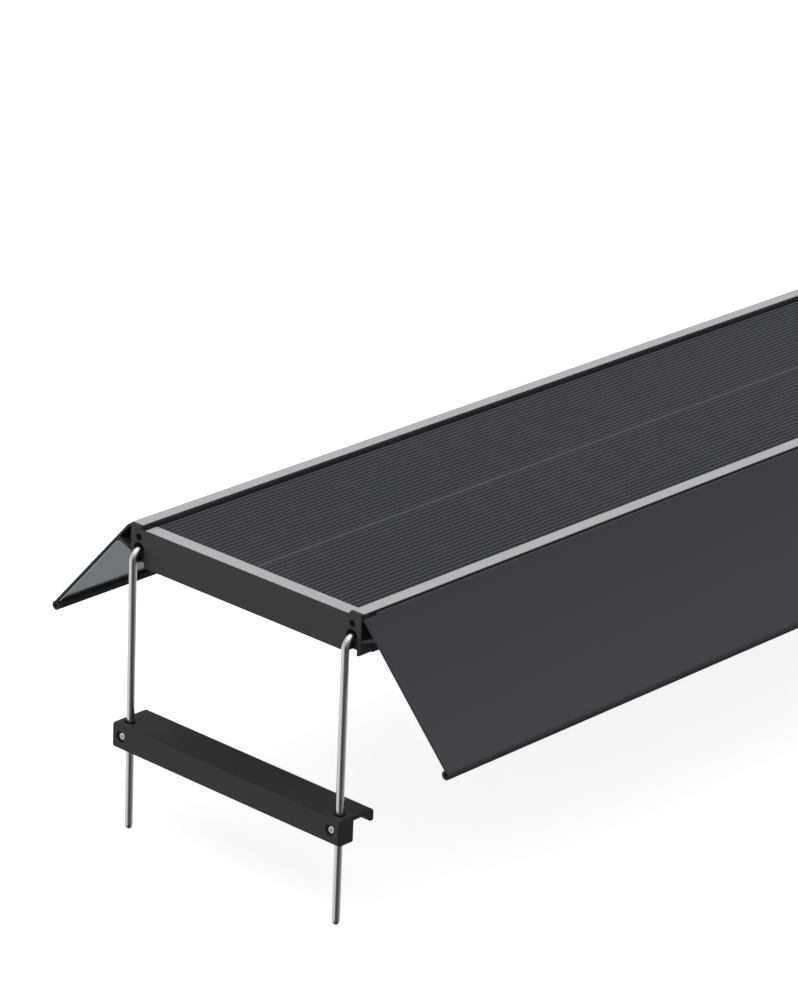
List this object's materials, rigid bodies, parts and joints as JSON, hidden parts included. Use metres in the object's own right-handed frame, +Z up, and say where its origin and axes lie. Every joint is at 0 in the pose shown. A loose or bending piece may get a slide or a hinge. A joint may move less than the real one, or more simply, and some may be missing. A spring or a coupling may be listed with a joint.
{
  "type": "led aquarium light",
  "caption": "Long finned LED aquarium light with lift-up mirror-lined side shades, telescoping L-shaped rods and height-adjustable clamp bars that hook over the tank rim.",
  "frame": {"origin": "in the plane of the four rod tips, midway between the ends and the sides", "axes": "+X along the lamp, +Y to the rear, +Z up"},
  "size_m": [0.921, 0.3385, 0.2045],
  "materials": {
    "anodised": "black anodised, satin, fine grain",
    "fins": "black anodised extrusion, satin",
    "bright": "brushed, clear anodised",
    "shade": "dark grey anodised, smooth satin",
    "mirror": "polished reflector sheet",
    "steel": "stainless, polished",
    "lens": "clear acrylic",
    "rubber": "soft matt black",
    "board": "white solder mask",
    "control": "green circuit board",
    "plastic": "moulded black",
    "nylon": "natural nylon"
  },
  "bodies": {
    "lamp": {"front_rail": "anodised", "rear_rail": "anodised", "left_end_cap": "anodised", "right_end_cap": "anodised", "heat_sink": "fins", "front_rail_strip": "bright", "rear_rail_strip": "bright", "left_end_strip": "bright", "right_end_strip": "bright", "left_board_screw_front": "steel", "left_board_screw_rear": "steel", "middle_board_screw_front": "steel", "middle_board_screw_rear": "steel", "right_board_screw_front": "steel", "right_board_screw_rear": "steel", "power_inlet_nut": "steel", "lens_panel": "lens", "front_lens_seal": "rubber", "rear_lens_seal": "rubber", "left_lens_seal": "rubber", "right_lens_seal": "rubber", "left_led_board": "board", "middle_led_board": "board", "right_led_board": "board", "control_board": "control", "control_cover": "plastic", "power_inlet": "plastic", "left_front_cap_screw": "plastic", "left_rear_cap_screw": "plastic", "right_front_cap_screw": "plastic", "right_rear_cap_screw": "plastic", "left_front_rod_bush": "nylon", "left_rear_rod_bush": "nylon", "right_front_rod_bush": "nylon", "right_rear_rod_bush": "nylon"},
    "front_shade": {"front_shade": "shade", "front_shade_mirror": "mirror"},
    "rear_shade": {"rear_shade": "shade", "rear_shade_mirror": "mirror"},
    "left_legs": {"left_front_rod": "steel", "left_rear_rod": "steel"},
    "left_bar": {"left_clamp_bar": "anodised", "left_rim_pad": "rubber"},
    "left_front_grub": {"left_front_grub_screw": "steel"},
    "left_rear_grub": {"left_rear_grub_screw": "steel"},
    "right_legs": {"right_front_rod": "steel", "right_rear_rod": "steel"},
    "right_bar": {"right_clamp_bar": "anodised", "right_rim_pad": "rubber"},
    "right_front_grub": {"right_front_grub_screw": "steel"},
    "right_rear_grub": {"right_rear_grub_screw": "steel"}
  },
  "joints": [
    {"name": "front_shade_lift", "type": "hinge", "parent": "lamp", "child": "front_shade", "pos_m": [0, -0.0986, 0.2012], "axis": [-1, 0, 0], "range_deg": [0, 70]},
    {"name": "rear_shade_lift", "type": "hinge", "parent": "lamp", "child": "rear_shade", "pos_m": [0, 0.0986, 0.2012], "axis": [1, 0, 0], "range_deg": [0, 70]},
    {"name": "left_legs_slide", "type": "slide", "parent": "lamp", "child": "left_legs", "axis": [-1, 0, 0], "range_m": [-0.005, 0.08]},
    {"name": "left_bar_height", "type": "slide", "parent": "left_legs", "child": "left_bar", "axis": [0, 0, 1], "range_m": [-0.05, 0.1]},
    {"name": "left_front_grub_turn", "type": "hinge", "parent": "left_bar", "child": "left_front_grub", "pos_m": [-0.4575, -0.09, 0.0656], "axis": [-1, 0, 0], "range_deg": [0, 360]},
    {"name": "left_rear_grub_turn", "type": "hinge", "parent": "left_bar", "child": "left_rear_grub", "pos_m": [-0.4575, 0.09, 0.0656], "axis": [-1, 0, 0], "range_deg": [0, 360]},
    {"name": "right_legs_slide", "type": "slide", "parent": "lamp", "child": "right_legs", "axis": [1, 0, 0], "range_m": [-0.005, 0.08]},
    {"name": "right_bar_height", "type": "slide", "parent": "right_legs", "child": "right_bar", "axis": [0, 0, 1], "range_m": [-0.05, 0.1]},
    {"name": "right_front_grub_turn", "type": "hinge", "parent": "right_bar", "child": "right_front_grub", "pos_m": [0.4575, -0.09, 0.0656], "axis": [1, 0, 0], "range_deg": [0, 360]},
    {"name": "right_rear_grub_turn", "type": "hinge", "parent": "right_bar", "child": "right_rear_grub", "pos_m": [0.4575, 0.09, 0.0656], "axis": [1, 0, 0], "range_deg": [0, 360]}
  ]
}
